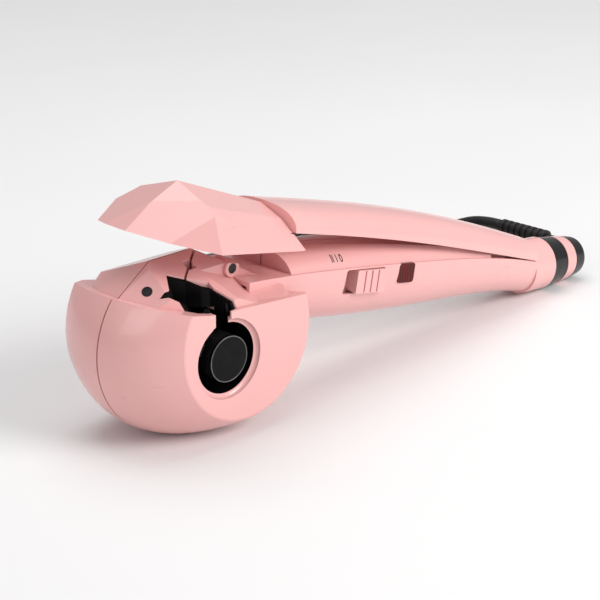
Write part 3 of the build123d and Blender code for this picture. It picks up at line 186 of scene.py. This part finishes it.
def shell_finish():
    """Satin pink lacquer with a faint orange peel and handling marks in its gloss."""
    made, tree, shader, place = new_material("pink_lacquer")
    tone = noise(tree, place, scale=14.0, detail=4.0)
    colours = [
        (0.30, (0.785, 0.402, 0.388)),
        (0.52, (0.805, 0.418, 0.403)),
        (0.75, (0.825, 0.436, 0.420)),
    ]
    tree.links.new(ramp(tree, tone, colours), shader.inputs["Base Color"])
    smear = noise(tree, stretch(tree, place, (1.0, 2.2, 2.2)), scale=46.0, detail=5.0, rough=0.62)
    tree.links.new(spread(tree, smear, low=0.27, high=0.38), shader.inputs["Roughness"])
    bump(tree, shader, noise(tree, place, scale=520.0, detail=2.0), strength=0.12, depth=0.00012)
    shader.inputs["Specular IOR Level"].default_value = 0.5
    shader.inputs["Coat Weight"].default_value = 0.5
    shader.inputs["Coat Roughness"].default_value = 0.06
    return made


def plastic_finish(name, dark, pale, low, high, grain, depth, shine=0.5):
    """Moulded plastic between two tones and two roughnesses, with a grain at a scale per metre."""
    made, tree, shader, place = new_material(name)
    tone = noise(tree, place, scale=grain * 0.12, detail=4.0)
    tree.links.new(ramp(tree, tone, [(0.32, dark), (0.70, pale)]), shader.inputs["Base Color"])
    smear = noise(tree, place, scale=grain * 0.2, detail=4.0)
    tree.links.new(spread(tree, smear, low, high), shader.inputs["Roughness"])
    bump(tree, shader, noise(tree, place, scale=grain, detail=3.0), strength=0.35, depth=depth)
    shader.inputs["Specular IOR Level"].default_value = shine
    return made


def barrel_finish():
    """Black ceramic coat with fine grey flecks."""
    made, tree, shader, place = new_material("barrel_ceramic")
    fleck = noise(tree, place, scale=2600.0, detail=2.0, rough=0.4)
    colours = [
        (0.0, (0.006, 0.006, 0.007)),
        (0.66, (0.010, 0.010, 0.011)),
        (0.74, (0.030, 0.030, 0.032)),
    ]
    tree.links.new(ramp(tree, fleck, colours), shader.inputs["Base Color"])
    smear = noise(tree, place, scale=160.0)
    tree.links.new(spread(tree, smear, low=0.20, high=0.32), shader.inputs["Roughness"])
    bump(tree, shader, noise(tree, place, scale=1400.0), strength=0.15, depth=0.00008)
    shader.inputs["Specular IOR Level"].default_value = 0.25
    return made


def metal_finish(name, dark, pale, low, high, grain):
    """Drawn metal between two tones and two roughnesses, with fine lines along its grain."""
    made, tree, shader, place = new_material(name)
    lines = noise(tree, stretch(tree, place, grain), scale=900.0, detail=3.0)
    tree.links.new(ramp(tree, lines, [(0.30, dark), (0.70, pale)]), shader.inputs["Base Color"])
    tree.links.new(spread(tree, lines, low, high), shader.inputs["Roughness"])
    bump(tree, shader, lines, strength=0.2, depth=0.00004)
    shader.inputs["Metallic"].default_value = 1.0
    return made


def lens_finish():
    """Dark red window with moulded flutes under a clear face."""
    made, tree, shader, place = new_material("red_window")
    flutes = tree.nodes.new("ShaderNodeTexWave")
    flutes.inputs["Scale"].default_value = 190.0
    flutes.inputs["Distortion"].default_value = 0.4
    tree.links.new(place, flutes.inputs["Vector"])
    colours = [(0.2, (0.050, 0.0006, 0.0008)), (0.8, (0.120, 0.0012, 0.0016))]
    tree.links.new(ramp(tree, flutes.outputs["Fac"], colours), shader.inputs["Base Color"])
    smear = noise(tree, place, scale=300.0)
    tree.links.new(spread(tree, smear, low=0.10, high=0.18), shader.inputs["Roughness"])
    bump(tree, shader, flutes.outputs["Fac"], strength=0.15, depth=0.00010)
    shader.inputs["Specular IOR Level"].default_value = 0.2
    shader.inputs["Coat Weight"].default_value = 0.1
    shader.inputs["Coat Roughness"].default_value = 0.05
    return made


def board_finish():
    """Green circuit board with a lacquer's mottle."""
    made, tree, shader, place = new_material("circuit_board")
    tone = noise(tree, place, scale=260.0, detail=4.0)
    colours = [(0.35, (0.010, 0.070, 0.030)), (0.65, (0.016, 0.110, 0.046))]
    tree.links.new(ramp(tree, tone, colours), shader.inputs["Base Color"])
    tree.links.new(spread(tree, tone, low=0.30, high=0.45), shader.inputs["Roughness"])
    bump(tree, shader, noise(tree, place, scale=900.0), strength=0.2, depth=0.00008)
    return made


def floor_finish():
    """Pale matt floor."""
    made, tree, shader, place = new_material("pale_floor")
    tone = noise(tree, place, scale=3.0, detail=3.0)
    colours = [(0.3, (0.79, 0.79, 0.79)), (0.7, (0.82, 0.82, 0.82))]
    tree.links.new(ramp(tree, tone, colours), shader.inputs["Base Color"])
    shader.inputs["Roughness"].default_value = 0.75
    return made


pink = shell_finish()
gloss_black = plastic_finish(
    "gloss_black", dark=(0.004, 0.004, 0.005), pale=(0.008, 0.008, 0.009),
    low=0.16, high=0.26, grain=900.0, depth=0.00005, shine=0.35,
)
cap_black = plastic_finish(
    "cap_black", dark=(0.002, 0.002, 0.002), pale=(0.005, 0.005, 0.005),
    low=0.30, high=0.42, grain=1100.0, depth=0.00005, shine=0.10,
)
satin_black = plastic_finish(
    "satin_black", dark=(0.008, 0.008, 0.009), pale=(0.016, 0.015, 0.016),
    low=0.34, high=0.48, grain=1500.0, depth=0.00010, shine=0.35,
)
rubber = plastic_finish(
    "black_rubber", dark=(0.010, 0.008, 0.008), pale=(0.022, 0.018, 0.018),
    low=0.46, high=0.60, grain=2200.0, depth=0.00012, shine=0.35,
)
sheath = plastic_finish(
    "cord_sheath", dark=(0.009, 0.008, 0.008), pale=(0.019, 0.016, 0.016),
    low=0.40, high=0.54, grain=1300.0, depth=0.00008, shine=0.35,
)
webbing = plastic_finish(
    "tie_webbing", dark=(0.010, 0.010, 0.011), pale=(0.032, 0.031, 0.032),
    low=0.70, high=0.85, grain=3600.0, depth=0.00030,
)
silicone = plastic_finish(
    "pad_silicone", dark=(0.380, 0.190, 0.185), pale=(0.460, 0.240, 0.232),
    low=0.50, high=0.62, grain=700.0, depth=0.00008,
)
ceramic = plastic_finish(
    "heater_ceramic", dark=(0.58, 0.55, 0.50), pale=(0.70, 0.67, 0.62),
    low=0.55, high=0.70, grain=800.0, depth=0.00010,
)
ink = plastic_finish(
    "mark_ink", dark=(0.020, 0.012, 0.012), pale=(0.034, 0.022, 0.022),
    low=0.38, high=0.50, grain=2400.0, depth=0.00002,
)
coat = barrel_finish()
steel = metal_finish(
    "drawn_steel", dark=(0.46, 0.46, 0.47), pale=(0.62, 0.62, 0.63),
    low=0.24, high=0.36, grain=(1.0, 1.0, 0.08),
)
dark_steel = metal_finish(
    "blackened_steel", dark=(0.030, 0.030, 0.032), pale=(0.060, 0.060, 0.064),
    low=0.30, high=0.42, grain=(1.0, 0.2, 1.0),
)
# Grey metal for the thin ring at the cap's edge: painted highlight of that edge
highlight_grey_metal = metal_finish(
    "highlight_ring_metal", dark=(0.16, 0.16, 0.165), pale=(0.24, 0.24, 0.245),
    low=0.34, high=0.46, grain=(1.0, 0.3, 1.0),
)
brass = metal_finish(
    "pin_metal", dark=(0.60, 0.54, 0.42), pale=(0.74, 0.69, 0.58),
    low=0.20, high=0.32, grain=(0.06, 1.0, 1.0),
)
lens = lens_finish()
board = board_finish()

finishes = {
    pink: [
        "housing_far", "housing_near", "hair_guide_front", "hair_guide_rear", "switch_slider",
        "arm_shell", "jaw_cover", "pivot_caps", "tail_ring",
    ],
    gloss_black: ["tail_band", "swivel_cap"],
    cap_black: ["hair_funnel", "chamber_liner", "barrel_cap"],
    satin_black: ["rotor_drum", "rotor_bearing", "hair_hook", "microswitch", "plug_body"],
    rubber: ["strain_relief"],
    webbing: ["cord_tie"],
    silicone: ["jaw_pad"],
    ceramic: ["heater_core"],
    coat: ["barrel"],
    steel: [
        "jaw_screws", "hinge_pin", "return_spring", "housing_screws",
        "motor_bracket", "drive_motor", "thermal_fuse",
    ],
    dark_steel: ["guide_screws"],
    brass: ["plug_pins", "motor_pinion"],
    lens: ["indicator_lens", "indicator_led"],
    board: ["control_board"],
}
for finish, names in finishes.items():
    for name in names:
        slots = nodes[name].data.materials
        slots.clear()
        slots.append(finish)


def link(name, data):
    """New object in the scene."""
    made = bpy.data.objects.new(name, data)
    bpy.context.scene.collection.objects.link(made)
    return made


def spline_points(points, fine):
    """Points of the smooth line that has these as its control points, in metres."""
    curve = bpy.data.curves.new("route_line", "CURVE")
    curve.dimensions = "3D"
    spline = curve.splines.new("NURBS")
    spline.points.add(len(points) - 1)
    for point, spot in zip(spline.points, points):
        point.co = (*[value * mm for value in spot], 1.0)
    spline.order_u = 3
    spline.use_endpoint_u = True
    spline.resolution_u = fine
    holder = link("route_line", curve)
    bpy.context.view_layer.update()
    mesh = bpy.data.meshes.new_from_object(holder)
    line = [vertex.co.copy() for vertex in mesh.vertices]
    bpy.data.objects.remove(holder)
    bpy.data.curves.remove(curve)
    bpy.data.meshes.remove(mesh)
    return line


def tube(name, line, r, sides):
    """Round tube along a line, closed at both ends, with rings that don't twist."""
    shape = bmesh.new()
    rings = []
    ahead = (line[1] - line[0]).normalized()
    side = ahead.orthogonal().normalized()
    for index, spot in enumerate(line):
        before = line[max(index - 1, 0)]
        after = line[min(index + 1, len(line) - 1)]
        turned = (after - before).normalized()
        side = (ahead.rotation_difference(turned) @ side).normalized()
        ahead = turned
        up = ahead.cross(side)
        ring = []
        for step in range(sides):
            angle = 2 * pi * step / sides
            ring.append(shape.verts.new(spot + (side * cos(angle) + up * sin(angle)) * r))
        rings.append(ring)
    for low, high in zip(rings, rings[1:]):
        for step in range(sides):
            after = (step + 1) % sides
            shape.faces.new((low[step], low[after], high[after], high[step]))
    shape.faces.new(list(reversed(rings[0])))
    shape.faces.new(rings[-1])
    for face in shape.faces:
        face.smooth = len(face.verts) == 4
    shape.normal_update()
    mesh = bpy.data.meshes.new(name)
    shape.to_mesh(mesh)
    shape.free()
    return link(name, mesh)


# Cord: out of the boot, down to the floor behind the handle, into the put-away coil and on to the plug
cord_points = [(boot_x, boot_y, boot_z)]
for ahead_x, ahead_y, height in fall_steps:
    cord_points.append((boot_x + ahead_x, boot_y + ahead_y, height))
cord_points.append((boot_x + bend_x, coil_y + coil_r, coil_low_z))
cord_points.append((coil_x + coil_entry_x, coil_y + coil_r, coil_low_z))
turns = turns_in + turns_climb + turns_out
step_angle = 2 * pi / turn_points
for step in range(int(turns * turn_points) + 1):
    turn = step / turn_points
    inward = min(turn, turns_in) - max(turn - turns_in - turns_climb, 0.0)
    climb = min(max((turn - turns_in) / turns_climb, 0.0), 1.0)
    r = (coil_r - coil_pitch * inward) / cos(step_angle / 2)
    angle = pi / 2 + step_angle * step
    height = coil_low_z + (coil_high_z - coil_low_z) * climb * climb * (3 - 2 * climb)
    cord_points.append((coil_x + r * cos(angle), coil_y + r * sin(angle), height))
coil_end_y = coil_y + coil_r - coil_pitch * (turns_in - turns_out)
cord_points.extend(
    [
        (coil_x + coil_leave_x, coil_end_y, coil_high_z),
        (plug_x + plug_run, plug_y, plug_z),
        (plug_x + plug_gap, plug_y, plug_z),
    ]
)
cord_line = spline_points(cord_points, cord_fine)
cord = tube("power_cord", cord_line, cord_r * mm, cord_sides)
cord.data.materials.append(sheath)
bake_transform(cord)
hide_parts("cord", "cord_coil", "cord_lead")


def softened(node, name, r, segments):
    """Copy of a faceted node whose facets meet in rounded edges."""
    shape = bmesh.new()
    shape.from_mesh(nodes[node].data)
    bmesh.ops.remove_doubles(shape, verts=shape.verts, dist=weld)
    bmesh.ops.dissolve_limit(shape, angle_limit=flat_angle, verts=shape.verts, edges=shape.edges)
    shape.normal_update()
    crests = [
        edge
        for edge in shape.edges
        if len(edge.link_faces) == 2
        and edge.is_convex
        and crest_low < edge.calc_face_angle() < crest_high
        and edge.calc_length() > crest_length * mm
    ]
    bmesh.ops.bevel(
        shape,
        geom=crests,
        offset=r * mm,
        offset_type="OFFSET",
        segments=segments,
        profile=0.5,
        affect="EDGES",
        clamp_overlap=True,
    )
    bmesh.ops.triangulate(shape, faces=[face for face in shape.faces if len(face.verts) > 4])
    shape.normal_update()
    for face in shape.faces:
        face.smooth = True
    for edge in shape.edges:
        edge.smooth = len(edge.link_faces) == 2 and edge.calc_face_angle() < sharp_angle
    mesh = bpy.data.meshes.new(name)
    shape.to_mesh(mesh)
    shape.free()
    made = link(name, mesh)
    even = made.modifiers.new("even_normals", "WEIGHTED_NORMAL")
    even.keep_sharp = True
    return made


# Jaw, with the soft edges of a moulded cover
jaw = softened("jaw_cover", "jaw_shield", jaw_edge_r, jaw_edge_steps)
jaw.data.materials.append(pink)
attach(jaw, "arm")
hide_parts("jaw_cover")


def turned_ring(name, centre, profile, steps):
    """Closed ring turned about an axis along Y from a profile of radii and places."""
    shape = bmesh.new()
    rows = []
    for step in range(steps):
        angle = 2 * pi * step / steps
        row = []
        for r, y in profile:
            spot = (centre[0] + r * cos(angle), y, centre[1] + r * sin(angle))
            row.append(shape.verts.new([value * mm for value in spot]))
        rows.append(row)
    count = len(profile)
    for step in range(steps):
        low = rows[step]
        high = rows[(step + 1) % steps]
        for index in range(count):
            after = (index + 1) % count
            shape.faces.new((low[index], low[after], high[after], high[index]))
    bmesh.ops.recalc_face_normals(shape, faces=shape.faces)
    for edge in shape.edges:
        edge.smooth = edge.calc_face_angle() < sharp_angle
    for face in shape.faces:
        face.smooth = True
    mesh = bpy.data.meshes.new(name)
    shape.to_mesh(mesh)
    shape.free()
    return link(name, mesh)


# Thin grey ring at the edge of the barrel's end cap: painted highlight of the cap's edge
ring = turned_ring("cap_edge_highlight_ring", ring_centre, ring_profile, ring_steps)
ring.data.materials.append(highlight_grey_metal)
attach(ring, "main")


def long_edges(shape):
    """Edges of a mark that are too long to follow the curved wall."""
    return [edge for edge in shape.edges if edge.calc_length() > mark_edge * mm]


def laid_mark(text, x, z, onto):
    """Printed sign on the handle's near side, laid on its curved wall."""
    curve = bpy.data.curves.new("mark", "FONT")
    curve.body = text
    curve.size = mark_height * mm / mark_capital
    curve.align_x = "CENTER"
    curve.align_y = "CENTER"
    curve.resolution_u = 6
    curve.offset = mark_bold * mm
    holder = link("mark", curve)
    bpy.context.view_layer.update()
    mesh = bpy.data.meshes.new_from_object(holder)
    bpy.data.objects.remove(holder)
    bpy.data.curves.remove(curve)
    shape = bmesh.new()
    shape.from_mesh(mesh)
    bpy.data.meshes.remove(mesh)
    bmesh.ops.remove_doubles(shape, verts=shape.verts, dist=weld)
    bmesh.ops.triangulate(shape, faces=shape.faces)
    while long_edges(shape):
        bmesh.ops.subdivide_edges(shape, edges=long_edges(shape), cuts=1)
        bmesh.ops.triangulate(shape, faces=shape.faces)
    right = Vector((cos(panel_slope), 0.0, -sin(panel_slope)))
    up = Vector((sin(panel_slope), 0.0, cos(panel_slope)))
    middle = Vector((x * mm, 0.0, z * mm))
    for vertex in shape.verts:
        spot = middle + right * vertex.co.x + up * vertex.co.y
        start = Vector((spot.x, mark_ray_y, spot.z))
        found, facing, _, _ = onto.ray_cast(start, Vector((0.0, 1.0, 0.0)))
        vertex.co = found + facing * mark_proud * mm
    bmesh.ops.recalc_face_normals(shape, faces=shape.faces)
    if sum(face.normal.y for face in shape.faces) > 0:
        bmesh.ops.reverse_faces(shape, faces=shape.faces)
    made = bpy.data.meshes.new("switch_mark_" + text)
    shape.to_mesh(made)
    shape.free()
    return link("switch_mark_" + text, made)


# Printed marks of the switch
wall = BVHTree.FromPolygons(
    [vertex.co for vertex in nodes["housing_near"].data.vertices],
    [face.vertices for face in nodes["housing_near"].data.polygons],
)
for text, x, z in mark_spots:
    mark = laid_mark(text, x, z, wall)
    mark.data.materials.append(ink)
    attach(mark, "main")

# Floor, lamps and world
floor_corners = [(-1, -1), (1, -1), (1, 1), (-1, 1)]
floor_mesh = bpy.data.meshes.new("floor")
floor_mesh.from_pydata(
    [(x * floor_half, y * floor_half, 0) for x, y in floor_corners],
    [],
    [(0, 1, 2, 3)],
)
floor_mesh.materials.append(floor_finish())
floor = link("floor", floor_mesh)


def lamp(name, spot, target, size, power, colour):
    """Soft square lamp that looks at a point."""
    light = bpy.data.lights.new(name, "AREA")
    light.size = size
    light.energy = power
    light.color = colour
    made = link(name, light)
    made.location = spot
    made.rotation_mode = "QUATERNION"
    made.rotation_quaternion = (Vector(target) - Vector(spot)).to_track_quat("-Z", "Y")


for name, settings in lamps.items():
    lamp(name, *settings)
world = bpy.data.worlds.new("studio")
world.use_nodes = True
background = world.node_tree.nodes["Background"]
background.inputs["Color"].default_value = world_colour
background.inputs["Strength"].default_value = world_strength
bpy.context.scene.world = world
bpy.context.scene.view_settings.view_transform = "Standard"

# Camera
camera_data = bpy.data.cameras.new("camera")
camera_data.lens = camera_lens
camera_data.sensor_width = camera_sensor
camera = link("camera", camera_data)
ahead = Vector(camera_ahead).normalized()
right = ahead.cross(Vector(camera_up)).normalized()
upward = right.cross(ahead)
turn = Matrix((right, upward, -ahead)).transposed()
camera.matrix_world = Matrix.Translation(camera_spot) @ turn.to_4x4()
bpy.context.scene.camera = camera
